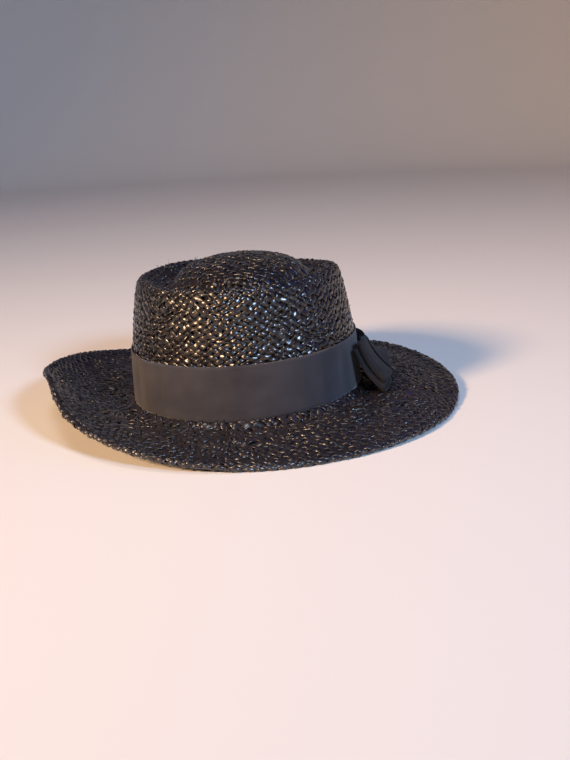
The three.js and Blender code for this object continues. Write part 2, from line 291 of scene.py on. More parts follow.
def new_piece(name, points, faces, coords, material):
    """Mesh object from points in the hat's frame, with its coordinates in a UV map.
    Points that no face uses are left out, and the rest keep their order."""
    used = np.unique([point for face in faces for point in face])
    number = dict(zip(used.tolist(), range(len(used))))
    faces = [[number[point] for point in face] for face in faces]
    points, coords = points[used], coords[used]
    mesh = bpy.data.meshes.new(name)
    mesh.from_pydata(stand(points).tolist(), [], faces)
    corner = np.empty(len(mesh.loops), int)
    mesh.loops.foreach_get("vertex_index", corner)
    uv = mesh.uv_layers.new(name="strip")
    uv.data.foreach_set("uv", coords[corner].astype(np.float32).ravel())
    mesh.polygons.foreach_set("use_smooth", np.ones(len(mesh.polygons), bool))
    mesh.materials.append(material)
    mesh.update()
    piece = bpy.data.objects.new(name, mesh)
    bpy.context.scene.collection.objects.link(piece)
    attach(piece, "root")
    return piece


def colour(hex_value):
    """Linear colour of an sRGB hex value."""
    parts = np.array([(hex_value >> shift) & 255 for shift in (16, 8, 0)]) / 255
    linear = np.where(parts <= 0.04045, parts / 12.92, ((parts + 0.055) / 1.055) ** 2.4)
    return (*linear.tolist(), 1.0)


def add(tree, kind, settings=(), links=()):
    """Adds one node: settings are (name or input, value), links are (input, socket)."""
    made = tree.nodes.new("ShaderNode" + kind)
    for name, value in settings:
        if isinstance(name, int) or name in made.inputs:
            made.inputs[name].default_value = value
        else:
            setattr(made, name, value)
    for name, socket in links:
        tree.links.new(socket, made.inputs[name])
    return made


def lacquered_straw(name, dark, light, rough, gloss, lacquer):
    """Dyed straw under lacquer: near black, each strip its own tone, fibres half a
    millimetre wide and 9 mm long, and painted shade on each strip's edges, where it dips
    between its neighbours. Dents 3 mm across and duller places 14 mm long break up the
    lacquer's sharp glint on each raised crossing."""
    material = bpy.data.materials.new(name)
    material.use_nodes = True
    tree = material.node_tree
    tree.nodes.clear()
    place = add(tree, "UVMap", [("uv_map", "strip")])
    split = add(tree, "SeparateXYZ", [], [(0, place.outputs[0])])
    number = add(tree, "Math", [("operation", "FLOOR")], [(0, split.outputs[0])])
    tone = add(tree, "TexWhiteNoise", [("noise_dimensions", "1D")], [("W", number.outputs[0])])
    part = add(tree, "Math", [("operation", "FRACT")], [(0, split.outputs[0])])
    side = add(tree, "Math", [("operation", "SUBTRACT"), (1, 0.5)], [(0, part.outputs[0])])
    edge = add(tree, "Math", [("operation", "ABSOLUTE")], [(0, side.outputs[0])])
    long = add(tree, "CombineXYZ", [], [(0, split.outputs[0]), (1, split.outputs[1])])
    stretch = add(tree, "Mapping", [("Scale", (9.0, 1.1, 1.0))], [(0, long.outputs[0])])
    fibre = add(tree, "TexNoise", [("Scale", 1.0), ("Detail", 4.0)], [("Vector", stretch.outputs[0])])
    patch = add(tree, "Mapping", [("Scale", (1.0, 0.7, 1.0))], [(0, long.outputs[0])])
    blotch = add(tree, "TexNoise", [("Scale", 1.0), ("Detail", 2.0)], [("Vector", patch.outputs[0])])
    mixed = add(
        tree,
        "Math",
        [("operation", "MULTIPLY_ADD"), (1, 0.5)],
        [(0, tone.outputs[0]), (2, fibre.outputs[0])],
    )
    spread = add(tree, "MapRange", [(1, 0.3), (2, 1.15)], [(0, mixed.outputs[0])])
    dye = add(tree, "MixRGB", [(1, colour(dark)), (2, colour(light))], [(0, spread.outputs[0])])
    # Painted shade: the outer third of each strip's width, where it dips between its neighbours, darkens
    # towards 0.45 at the edge
    painted_edge_shade = add(tree, "MapRange", [(1, 0.3), (2, 0.46), (3, 1.0), (4, 0.45)], [(0, edge.outputs[0])])
    shade = add(
        tree,
        "MixRGB",
        [("blend_type", "MULTIPLY"), (0, 1.0)],
        [(1, dye.outputs[0]), (2, painted_edge_shade.outputs[0])],
    )
    uneven = add(
        tree,
        "MapRange",
        [(1, 0.3), (2, 0.75), (3, rough - 0.07), (4, rough + 0.14)],
        [(0, blotch.outputs[0])],
    )
    near = add(tree, "Mapping", [("Scale", (1.7, 3.2, 1.0))], [(0, long.outputs[0])])
    dent = add(tree, "TexNoise", [("Scale", 1.0), ("Detail", 1.0)], [("Vector", near.outputs[0])])
    height = add(
        tree,
        "Math",
        [("operation", "MULTIPLY_ADD"), (1, 2.5)],
        [(0, dent.outputs[0]), (2, fibre.outputs[0])],
    )
    bump = add(tree, "Bump", [("Strength", 0.6), ("Distance", 0.0003)], [("Height", height.outputs[0])])
    skin = add(
        tree,
        "BsdfPrincipled",
        [("IOR", 1.5), ("Specular IOR Level", gloss), ("Coat Weight", lacquer), ("Coat Roughness", 0.2)],
        [("Base Color", shade.outputs[0]), ("Roughness", uneven.outputs[0]), ("Normal", bump.outputs[0])],
    )
    add(tree, "OutputMaterial", [], [("Surface", skin.outputs[0])])
    return material


crown_straw = lacquered_straw("black_lacquered_crown_straw", 0x060505, 0x241B16, 0.3, 0.3, 0.9)

WALL_WIDE = BAND_WIDTH / 2 - CROWN_IN
WALL_LONG = BAND_LENGTH / 2 - CROWN_IN
wall = through(CROWN_ROWS)
wall_length = path_length(wall[:, :2])
# The middle of the straw follows the outside at half the wall, towards the inside
wall_rise = np.gradient(wall[:, 0], wall_length)
wall_in = np.gradient(wall[:, 1], wall_length)
# An oval's way round is a little longer than that of a circle of its mean size
OVAL_LONGER = 1.002
wall_ring_lengths = np.pi * (WALL_WIDE + WALL_LONG - 2 * wall[:, 1]) * OVAL_LONGER
wall_rows = crossing_rows(wall_length, wall_ring_lengths, WALL_STRIPS)
wall_turns = even_turns(lambda turn: oval(WALL_WIDE, WALL_LONG, turn, 0.0))


def crown_at(turn, length):
    """Middle of the crown's straw: an oval drawn in by the table's inset at its height,
    less its share of the dip, which follows the squared cosine of the turn."""
    height = np.interp(length, wall_length, wall[:, 0])
    inset = np.interp(length, wall_length, wall[:, 1])
    share = np.interp(length, wall_length, wall[:, 2])
    rise = np.interp(length, wall_length, wall_rise)
    drawn = np.interp(length, wall_length, wall_in)
    inset = inset + HALF_WALL * (rise - 1)
    height = height - HALF_WALL * drawn
    dip = CREST_DIP * share * np.maximum(0, np.cos(turn - math.radians(CREST_DIP_AT))) ** 2
    return oval(WALL_WIDE - inset, WALL_LONG - inset, turn, height - dip)


def wall_surface(col, row):
    """Crown wall by column and row of crossings."""
    return crown_at(wall_turns(col / (2 * WALL_STRIPS)), np.interp(row, wall_rows_at, wall_lengths_at))


def extended(rows, lengths, by):
    """Row and length tables drawn out in a straight line past both ends."""
    first = (rows[1] - rows[0]) / (lengths[1] - lengths[0])
    last = (rows[-1] - rows[-2]) / (lengths[-1] - lengths[-2])
    rows = np.concatenate([[rows[0] - by * first], rows, [rows[-1] + by * last]])
    return rows, np.concatenate([[lengths[0] - by], lengths, [lengths[-1] + by]])


wall_rows_at, wall_lengths_at = extended(wall_rows, wall_length, PAST_ENDS)
hidden_row = int(np.interp(RIBBON_WIDTH - UNDER_RIBBON, wall_length, wall_rows))
groove_row = int(wall_rows[-1] - 0.5)
crest_row = int(np.interp(CREST_LENGTH, wall_length, wall_rows))

points, faces, coords = plait(wall_surface, WALL_STRIPS, 1, hidden_row + 1, HIDDEN_STEPS, CROWN_UNEVEN)
wall_foot = new_piece("crown_wall_foot", points, faces, coords, crown_straw)
points, faces, coords = plait(wall_surface, WALL_STRIPS, hidden_row, crest_row + 1, WALL_STEPS, CROWN_UNEVEN)
wall_weave = new_piece("crown_wall_weave", points, faces, coords, crown_straw)
points, faces, coords = plait(wall_surface, WALL_STRIPS, crest_row, groove_row, WALL_STEPS, CROWN_UNEVEN)
crest_weave = new_piece("crown_crest_weave", points, faces, coords, crown_straw)

# Crown dome: the weave's beginning, a flat mat of the same strips crossing at right
# angles, pressed up into a low dome. Its strips go down into the groove, at an oval
# that lies GROOVE_IN inside the crown's own outside at its foot.
GROOVE_IN = 30
DOME_NARROW = 0.953
DOME_SHIFT = 1.6
DOME_SINK = 1.9
DOME_SINKS_FROM = 0.97
DOME_ENDS_AT = 1.06
DOME_STEPS = 3
DOME_UNEVEN = (0.2, 0.28, 0.34)
DOME_ROWS = (
    # share of the dome's own oval, height
    (0.0, 99.0),
    (0.19, 98.7),
    (0.37, 97.6),
    (0.55, 95.9),
    (0.7, 93.7),
    (0.81, 91.2),
    (0.88, 88.0),
    (0.93, 84.6),
    (1.0, 82.3),
    (1.1, 81.9),
)
DOME_STRIPS = 42
MAT_MARGIN = 5
STRIP_PITCH = 4.6
MAT_TURN = 33

dome = through(DOME_ROWS)
dome_wide = (WALL_WIDE + HALF_WALL - GROOVE_IN) * DOME_NARROW
dome_long = WALL_LONG + HALF_WALL - GROOVE_IN


def smooth_step(x, low, high):
    """Rises from 0 at low to 1 at high, level at both."""
    t = np.clip((x - low) / (high - low), 0, 1)
    return t * t * (3 - 2 * t)


def dome_share(x, y):
    """Share of the dome's oval that a place is out at."""
    return np.hypot((x - DOME_SHIFT) / dome_wide, y / dome_long)


def dome_place(col, row):
    """Plan place of a crossing: columns and rows at right angles, turned by MAT_TURN."""
    side = STRIP_PITCH / math.sqrt(2)
    turn = math.radians(MAT_TURN)
    x, y = (col - DOME_STRIPS) * side, row * side
    return x * math.cos(turn) - y * math.sin(turn), x * math.sin(turn) + y * math.cos(turn)


def dome_surface(col, row):
    """Dome by column and row: its height follows the table at the place's share."""
    x, y = dome_place(col, row)
    height = np.interp(dome_share(x, y), dome[:, 0], dome[:, 1]) - HALF_WALL
    return np.stack([x, y, height], -1)


def dome_kept(col, row):
    """Only what lies inside the dome's oval and just past it."""
    return dome_share(*dome_place(col, row)) < DOME_ENDS_AT


def dome_sink(col, row, number):
    """Strips go down into the weave of the groove at their ends."""
    share = dome_share(*dome_place(col, row))
    return -DOME_SINK * smooth_step(share, DOME_SINKS_FROM, DOME_ENDS_AT)


points, faces, coords = plait(
    dome_surface,
    DOME_STRIPS,
    -DOME_STRIPS // 2 - MAT_MARGIN,
    DOME_STRIPS // 2 + MAT_MARGIN,
    DOME_STEPS,
    DOME_UNEVEN,
    sink=dome_sink,
    kept=dome_kept,
)
dome_weave = new_piece("crown_dome_weave", points, faces, coords, crown_straw)
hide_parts("crown")

# Brim: plaited on outwards from the crown's foot, with new strips laid in where the
# ring grows too wide, then rolled under at the edge and pressed.
BRIM_WIDTH = 73
BRIM_SEAT = -1.3
BRIM_CURL = 1.5
EDGE_RADIUS = 2.2
ROLL_RADIUS = 1.3
ROLL_BEFORE = 11
ROLL_LIFT = 8
ROLL_BACK = 9
BEND_RISE = 1.2
BEND_FALL = 2.2
BEND_START = 0.3
BEND_END = 6.5
BEND_FADE = (9, 32)
BRIM_STEPS = 3
BRIM_UNEVEN = (0.3, 0.45, 0.55)
EDGE_UNEVEN = (0.22, 0.2, 0.3)
BRIM_SLOPES = (
    # slope at the band, slope at the edge, for each sixteenth turn from the wearer's left
    (-3, -17),
    (-3, -10),
    (-2, -4),
    (-2, -6),
    (-2, -8),
    (-1, -4),
    (1, 20),
    (3, 39),
    (5, 48),
    (5, 59),
    (3, 25),
    (0, 0),
    (-4, -13),
    (-5, -17),
    (-4, -19),
    (-3, -25),
)
BRIM_ZONES = (
    # name, strips each way, start and end along the brim (0 is on past the rolled edge)
    ("brim_weave_inner", 88, -3, 20),
    ("brim_weave_middle", 110, 20, 45),
    ("brim_weave_edge", 132, 45, 0),
)
ZONE_OVERLAP = 5
ZONE_SINK = 1.3
ZONE_SINK_WAY = 4.5
ZONE_SINK_INSIDE = 1
ZONE_RAGGED = 1.2
TABLE_MARGIN = 6
TABLE_STEP = 0.5
RING_POINTS = 361
BRIM_LINE = BRIM_WIDTH - EDGE_RADIUS
gauss_at, gauss_weight = np.polynomial.legendre.leggauss(8)


def slopes_at(turn):
    """Slope at the band and at the edge, smooth round the closed table (Catmull-Rom)."""
    table = np.radians(np.array(BRIM_SLOPES, float))
    place = (turn / (2 * np.pi)) % 1 * len(table)
    i = np.floor(place).astype(int)
    t = (place - i)[..., None]
    p, q, r, s = (table[(i + k) % len(table)] for k in (-1, 0, 1, 2))
    both = 0.5 * (2 * q + (r - p) * t + (2 * p - 5 * q + 4 * r - s) * t**2 + (3 * q - p - 3 * r + s) * t**3)
    return both[..., 0], both[..., 1]


def bend(along):
    """The straw comes down from under the band in a tight bend: it is higher next to the
    band and a little lower just past it than the brim's own line."""
    rise = BEND_RISE * (1 - smooth_step(along, BEND_START, BEND_END))
    fall = BEND_FALL * smooth_step(along, BEND_START, BEND_END) * (1 - smooth_step(along, *BEND_FADE))
    return rise - fall


def brim_at(turn, along, off, face):
    """Point near the brim's middle line: the line leaves the band's foot and its slope
    grows with the distance to the power 1.5. The point is off by a distance, at an
    angle from the line's own direction."""
    start, end = slopes_at(turn)
    share = np.maximum(along, 0) / BRIM_LINE
    places = (gauss_at + 1) / 2
    slope = start[..., None] + (end - start)[..., None] * (share[..., None] * places) ** BRIM_CURL
    across = along * (np.cos(slope) @ gauss_weight) / 2
    up = along * (np.sin(slope) @ gauss_weight) / 2
    here = start + (end - start) * share**BRIM_CURL
    across = across + off * np.cos(here + face)
    up = up + off * np.sin(here + face) + bend(along)
    out = oval(1 / BAND_WIDTH, 1 / BAND_LENGTH, turn, 0.0)
    out /= np.linalg.norm(out, axis=-1, keepdims=True)
    foot = oval(BAND_WIDTH / 2, BAND_LENGTH / 2, turn, BRIM_SEAT)
    return foot + out * across[..., None] + np.array([0, 0, 1.0]) * up[..., None]


def rolled(length):
    """Weave's way along the brim, round the edge and back underneath, by its length:
    distance along the brim's line, offset from it and the offset's angle."""
    turn_length = np.pi * ROLL_RADIUS
    past = length - BRIM_LINE
    back = np.where(past < turn_length, BRIM_LINE, BRIM_LINE - (past - turn_length))
    along = np.where(past <= 0, length, back)
    share = np.clip((length - (BRIM_LINE - ROLL_BEFORE)) / ROLL_LIFT, 0, 1)
    off = ROLL_RADIUS * share**2 * (3 - 2 * share)
    face = np.pi / 2 - np.pi * np.clip(past / turn_length, 0, 1)
    return along, off, face


brim_straw = lacquered_straw("black_lacquered_brim_straw", 0x0C090A, 0x282122, 0.4, 0.3, 1.0)
for name, strips, begin, end in BRIM_ZONES:
    outermost = end == 0
    last_length = BRIM_LINE + np.pi * ROLL_RADIUS + ROLL_BACK if outermost else end + ZONE_OVERLAP
    first_length = begin if begin < 0 else begin - ZONE_OVERLAP
    lengths = np.arange(first_length - TABLE_MARGIN, last_length + TABLE_MARGIN, TABLE_STEP)
    ring_turn = np.linspace(0, 2 * np.pi, RING_POINTS)
    rings = brim_at(ring_turn, *(v[:, None] * np.ones(RING_POINTS) for v in rolled(lengths)))
    ring_lengths = np.linalg.norm(np.diff(rings, axis=1), axis=-1).sum(1)
    rows_at = crossing_rows(lengths, ring_lengths, strips)
    middle = (max(begin, 0) + min(last_length, BRIM_LINE)) / 2
    turns = even_turns(lambda turn: brim_at(turn, np.full(turn.shape, middle), 0.0, 0.0))

    def brim_surface(col, row, rows_at=rows_at, lengths=lengths, turns=turns, strips=strips):
        """Zone by column and row: the row gives the length, the column the turn."""
        length = np.interp(row, rows_at, lengths)
        return brim_at(turns(col / (2 * strips)), *rolled(length))

    uneven = chance.normal(size=strips) * ZONE_RAGGED

    def brim_sink(col, row, number, rows_at=rows_at, lengths=lengths, begin=begin, end=end, uneven=uneven):
        """Strips go down under their neighbour zone in smooth steps, each at its own length."""
        length = np.interp(row, rows_at, lengths) + uneven[number]
        down = np.zeros(np.broadcast_shapes(length.shape, col.shape))
        if begin > 0:
            risen = smooth_step(length, begin - ZONE_SINK_WAY, begin + ZONE_SINK_INSIDE)
            down = down - ZONE_SINK * (1 - risen)
        if end > 0:
            down = down - ZONE_SINK * smooth_step(length, end - ZONE_SINK_INSIDE, end + ZONE_SINK_WAY)
        return down

    first_row = math.ceil(np.interp(first_length, lengths, rows_at))
    last_row = math.floor(np.interp(last_length, lengths, rows_at))
    unevenness = EDGE_UNEVEN if outermost else BRIM_UNEVEN
    points, faces, coords = plait(
        brim_surface, strips, first_row, last_row, BRIM_STEPS, unevenness, facing=-1, sink=brim_sink
    )
    piece = new_piece(name, points, faces, coords, brim_straw)
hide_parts("brim")

# Loose ends: frayed blades of straw that have sprung out of the weave all over the
# crown's wall and the brim's outer ring, more of them at the crest, and a small tuft at
# the crest's back.
SLIVER_STEPS = 7
CROWN_ENDS = 90
BRIM_ENDS = 150
END_TILTS = (12, 50)
END_LENGTHS = (2, 5.5)
END_WIDTHS = (0.25, 0.7)
END_THICK = 0.12
END_BLUNT = 1.02
CURL_OUT = (-0.5, 0.3)
CURL_ASIDE = (-0.4, 0.4)
CREST_TOP = 95
CREST_BAND = 1.5
TUFT_TURN = 118
TUFT = (
    # columns aside, rows up, which way it leans, tilt in degrees, length, width
    (0.0, 0.0, 1.0, 85.0, 5.2, 1.1),
    (0.3, 0.2, -1.0, 75.0, 4.2, 0.9),
    (-0.4, -0.3, 1.0, 65.0, 3.6, 0.8),
    (1.2, 0.1, -1.0, 50.0, 3.0, 0.7),
    (-1.6, 0.4, 1.0, 45.0, 3.2, 0.7),
    (2.4, -0.2, 1.0, 35.0, 2.6, 0.6),
    (-2.8, 0.3, -1.0, 40.0, 2.8, 0.6),
    (3.4, 0.0, 1.0, 30.0, 2.4, 0.5),
)


def slivers(surface, col, row, way, lift, length, width, facing):
    """Blades that leave a surface of columns and rows along a strip's direction, tilted up
    by lift, and curl over. Their width falls off to a point as the root of what is left."""
    step = 0.05
    root = surface(col, row)
    up_col = surface(col + step, row) - surface(col - step, row)
    up_row = surface(col, row + step) - surface(col, row - step)
    normal = np.cross(up_col, up_row)
    normal *= facing / np.linalg.norm(normal, axis=-1, keepdims=True)
    tangent = up_row - way[:, None] * up_col
    tangent *= np.sign(way)[:, None] / np.linalg.norm(tangent, axis=-1, keepdims=True)
    side = np.cross(normal, tangent)
    count = len(col)
    s = np.linspace(0, 1, SLIVER_STEPS)[None, :, None]
    ahead = tangent * np.cos(lift)[:, None] + normal * np.sin(lift)[:, None]
    curl = chance.uniform(*CURL_OUT, (count, 1)) * normal + chance.uniform(*CURL_ASIDE, (count, 1)) * side
    middle = root[:, None] + length[:, None, None] * (ahead[:, None] * s + curl[:, None] * s**2)
    half = width[:, None, None] / 2 * np.sqrt(END_BLUNT - s)
    thin = END_THICK * np.sqrt(END_BLUNT - s)
    flat = np.cross(ahead, side)[:, None]
    rim = [side[:, None] * half, flat * thin, -side[:, None] * half, -flat * thin]
    points = np.stack([middle + r for r in rim], 2)
    index = np.arange(points[..., 0].size).reshape(points.shape[:3])
    around = np.roll(index, -1, axis=2)
    quads = np.stack([index[:, :-1], around[:, :-1], around[:, 1:], index[:, 1:]], -1).reshape(-1, 4)
    caps = np.concatenate([index[:, 0, ::-1], index[:, -1]])
    faces = np.concatenate([quads, caps])
    flat_points = points.reshape(-1, 3)
    corners = flat_points[faces[:, :3]]
    if np.einsum("ij,ij->i", corners[:, 0], np.cross(corners[:, 1], corners[:, 2])).sum() < 0:
        faces = faces[:, ::-1]
    coords = np.empty(points.shape[:3] + (2,))
    coords[..., 0] = np.arange(count)[:, None, None] + np.array([0.1, 0.5, 0.9, 0.5])
    coords[..., 1] = length[:, None, None] * s / 10
    return flat_points, faces.tolist(), coords.reshape(-1, 2)


def scattered(count, low_col, high_col, low_row, high_row):
    """Chance places, directions, tilts, lengths and widths of loose ends."""
    col = chance.uniform(low_col, high_col, count)
    row = chance.uniform(low_row, high_row, count)
    way = chance.choice([-1.0, 1.0], count)
    lift = np.radians(chance.uniform(*END_TILTS, count))
    return col, row, way, lift, chance.uniform(*END_LENGTHS, count), chance.uniform(*END_WIDTHS, count)


crest_top = np.interp(CREST_TOP, wall_length, wall_rows)
everywhere = scattered(CROWN_ENDS, 0, 2 * WALL_STRIPS, hidden_row + 4, groove_row - 1)
at_crest = scattered(CROWN_ENDS // 2, 0, 2 * WALL_STRIPS, crest_top - CREST_BAND, crest_top + CREST_BAND)
aside, higher, way, tilt, length, width = np.array(TUFT).T
tuft_col = 2 * WALL_STRIPS * TUFT_TURN / 360
tuft = (tuft_col + aside, crest_top + higher, way, np.radians(tilt), length, width)
loose = [np.concatenate(alike) for alike in zip(everywhere, at_crest, tuft)]
points, faces, coords = slivers(wall_surface, *loose, 1)
crest_ends = new_piece("crown_loose_ends", points, faces, coords, crown_straw)
# The brim's last zone, its outer ring, is the one that strips and brim_surface still hold
loose = scattered(BRIM_ENDS, 0, 2 * strips, 1, last_row - 6)
points, faces, coords = slivers(brim_surface, *loose, -1)
edge_ends = new_piece("brim_loose_ends", points, faces, coords, brim_straw)

# Hat band: one length of 38 mm grosgrain ribbon pulled round the crown's foot, its
# seam under the bow. It is matte, with fine cross ribs, and gives in a few soft creases.
RIBBON_THICK = 0.5
RIBBON_FOOT = 0.15
RIBBON_OUT = 1.5
RIBBON_PULLED = 0.25
CROWN_OUTSIDE_IN = 1.3
SELVEDGE_RISE = 0.12
SELVEDGE_SPAN = (0.8, 1.6)
CREASE_AT_EDGES = 0.35
RIPPLE_DEPTH = 0.18
RIPPLES = 5
RIPPLE_PHASE = 1.3
RIPPLE_SLANT = 0.05
GIVE_LEAST = -0.5
GIVE_SHARE = 0.8
RIB_RADIUS = 95
BAND_TURNS = 720
BAND_ROWS = 18
BAND_CREASES = (
    # place round the band in degrees, depth, half width in degrees
    (206.0, 0.7, 3.2),
    (214.0, -0.5, 3.0),
    (226.0, 0.75, 3.0),
    (237.0, -0.4, 4.0),
    (258.0, 0.5, 4.5),
    (283.0, -0.35, 5.0),
    (305.0, 0.5, 4.0),
    (325.0, 0.7, 3.2),
    (331.0, -0.4, 2.6),
    (60.0, 0.3, 4.0),
    (128.0, 0.35, 3.0),
)


def grosgrain(name, dark, light, sheen, gloss):
    """Rayon grosgrain: dull charcoal yarn packed over cords that run across the ribbon,
    0.9 mm apart (the real 0.5 mm would not show). It has a soft sheen at low angles, yarn
    0.3 mm by 1 mm, and faded places 2 to 3 cm wide."""
    material = bpy.data.materials.new(name)
    material.use_nodes = True
    tree = material.node_tree
    tree.nodes.clear()
    place = add(tree, "UVMap", [("uv_map", "strip")])
    ribs = add(
        tree,
        "TexWave",
        [("bands_direction", "X"), ("Scale", 3.5), ("Distortion", 0.0)],
        [("Vector", place.outputs[0])],
    )
    fine = add(tree, "Mapping", [("Scale", (30.0, 9.0, 1.0))], [(0, place.outputs[0])])
    yarn = add(tree, "TexNoise", [("Scale", 1.0), ("Detail", 3.0)], [("Vector", fine.outputs[0])])
    wide = add(tree, "Mapping", [("Scale", (0.35, 0.5, 1.0))], [(0, place.outputs[0])])
    faded = add(tree, "TexNoise", [("Scale", 1.0), ("Detail", 3.0)], [("Vector", wide.outputs[0])])
    mixed = add(
        tree,
        "Math",
        [("operation", "MULTIPLY_ADD"), (1, 0.45)],
        [(0, yarn.outputs[0]), (2, faded.outputs[0])],
    )
    spread = add(tree, "MapRange", [(1, 0.45), (2, 1.0)], [(0, mixed.outputs[0])])
    dye = add(tree, "MixRGB", [(1, colour(dark)), (2, colour(light))], [(0, spread.outputs[0])])
    height = add(
        tree,
        "Math",
        [("operation", "MULTIPLY_ADD"), (1, 0.35)],
        [(0, yarn.outputs[0]), (2, ribs.outputs[0])],
    )
    bump = add(tree, "Bump", [("Strength", 0.35), ("Distance", 0.00015)], [("Height", height.outputs[0])])
    cloth = add(
        tree,
        "BsdfPrincipled",
        [
            ("Roughness", 0.82),
            ("Sheen Weight", sheen),
            ("Sheen Roughness", 0.5),
            ("Specular IOR Level", gloss),
        ],
        [("Base Color", dye.outputs[0]), ("Normal", bump.outputs[0])],
    )
    add(tree, "OutputMaterial", [], [("Surface", cloth.outputs[0])])
    return material


def tube(points, coords, name, material):
    """Closed mesh of a grid of points that wraps round in both directions. Its faces are
    turned over where the sum of their corners' triple products is negative."""
    index = np.arange(points[..., 0].size).reshape(points.shape[:2])
    ahead = np.roll(index, -1, axis=0)
    quads = np.stack([index, np.roll(index, -1, 1), np.roll(ahead, -1, 1), ahead], -1).reshape(-1, 4)
    flat = points.reshape(-1, 3)
    corners = flat[quads[:, :3]]
    volume = np.einsum("ij,ij->i", corners[:, 0], np.cross(corners[:, 1], corners[:, 2])).sum()
    if volume < 0:
        quads = quads[:, ::-1]
    return new_piece(name, flat, quads.tolist(), coords.reshape(-1, 2), material)


charcoal = grosgrain("charcoal_grosgrain_band", 0x1F1D21, 0x383539, 0.25, 0.3)
ring = np.linspace(0, 2 * np.pi, BAND_TURNS, endpoint=False)
ups = np.linspace(RIBBON_FOOT, RIBBON_WIDTH, BAND_ROWS)
band_up = np.concatenate([ups, ups[::-1]])
outside = np.full(BAND_ROWS, RIBBON_OUT)
band_out = np.concatenate([outside, outside - RIBBON_THICK])
outer_face = np.repeat([1, -1], BAND_ROWS)
to_edge = np.minimum(band_up, RIBBON_WIDTH - band_up)
selvedge = SELVEDGE_RISE * (1 - smooth_step(to_edge, *SELVEDGE_SPAN))
turn = ring[:, None]
crease = np.zeros(turn.shape)
for at, depth, wide in BAND_CREASES:
    away = (np.degrees(turn) - at + 180) % 360 - 180
    crease = crease + depth * np.exp(-((away / wide) ** 2))
fuller = CREASE_AT_EDGES + (1 - CREASE_AT_EDGES) * np.sin(np.pi * band_up / RIBBON_WIDTH)
ripple = RIPPLE_DEPTH * np.sin(RIPPLES * turn + RIPPLE_PHASE + band_up * RIPPLE_SLANT)
ripple = ripple * (band_up / RIBBON_WIDTH)
give = np.maximum(crease * fuller + ripple, GIVE_LEAST) * GIVE_SHARE
# The first six rows of the crown's table reach past the ribbon's top
drawn = np.interp(band_up, *np.array(CROWN_ROWS[:6]).T[:2])
out = band_out + selvedge * outer_face - drawn - give - RIBBON_PULLED
band_wide = BAND_WIDTH / 2 - CROWN_OUTSIDE_IN
band_long = BAND_LENGTH / 2 - CROWN_OUTSIDE_IN
band_points = oval(band_wide + out, band_long + out, turn, band_up)
band_coords = np.stack(np.broadcast_arrays(turn * RIB_RADIUS / 10, band_up / 10), -1)
band = tube(band_points, band_coords, "ribbon_band", charcoal)
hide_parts("hat_band")

# Bow: two flat loops of the same ribbon laid one on the other and gathered under a
# short crosswise piece. It is stitched to the band, leans out and stands on the brim.
BOW_TOP = 29
BOW_STAND_OFF = 0.9
BOW_LEAN_TOP = 18
BOW_LEAN_FOOT = 52
BACK_LOWER = 5
BACK_LEAN = 14
BACK_LENGTH = 40
KNOT_WIDTH = 14
KNOT_LOW = 4
KNOT_HIGH = 35
GATHER_LENGTH = 26
PLEAT_DEPTH = 0.35
PLEAT_REACH = 9
PLEAT_UNDER_KNOT = 0.35
LOOP_STEPS = 61
FOLD_STEPS = 11
LOOP_ROWS = 15
BOW_LOOPS = (
    # name, half length, raised at the face end and at the back end, first layer's column, node
    ("ribbon_bow_lower_loop", 47, 0, 0, 1, "bow_lower_loop"),
    ("ribbon_bow_upper_loop", 43, 4, 0.5, 3, "bow_upper_loop"),
)
BOW_LAYERS = (
    # distance from the middle, and how far out the four layers lie there
    (0, 0.5, 1.7, 3.2, 4.4),
    (8, 0.5, 1.7, 3.2, 4.4),
    (20, 0.7, 2.7, 4.4, 6.2),
    (34, 0.8, 2.8, 4.6, 6.6),
    (47, 0.8, 2.6, 4.3, 6.2),
)

side_radius = BAND_LENGTH**2 / (2 * BAND_WIDTH)
side_centre = BAND_WIDTH / 2 - side_radius


def bow_at(distance, off, up):
    """Point of the bow. Its back leaves the band's side, a round arc, and leans out
    more and more towards its foot: the lean grows evenly with the way down."""
    flatter = smooth_step(distance, 0, BACK_LENGTH)
    spread = math.radians(BOW_LEAN_FOOT - BOW_LEAN_TOP)
    first = np.radians(BOW_LEAN_TOP + BACK_LEAN * flatter)
    way = RIBBON_WIDTH - up
    below = np.maximum(way, 0)
    above = np.minimum(way, 0)
    here = first + spread * below / RIBBON_WIDTH
    out = BOW_STAND_OFF + RIBBON_WIDTH / spread * (np.cos(first) - np.cos(here)) + above * np.sin(first)
    high = BOW_TOP - BACK_LOWER * flatter - RIBBON_WIDTH / spread * (np.sin(here) - np.sin(first))
    high = high - above * np.cos(first)
    reach = side_radius + out + off * np.cos(here)
    turn = distance / side_radius
    return np.stack(
        [side_centre + reach * np.cos(turn), reach * np.sin(turn), high + off * np.sin(here)], -1
    )
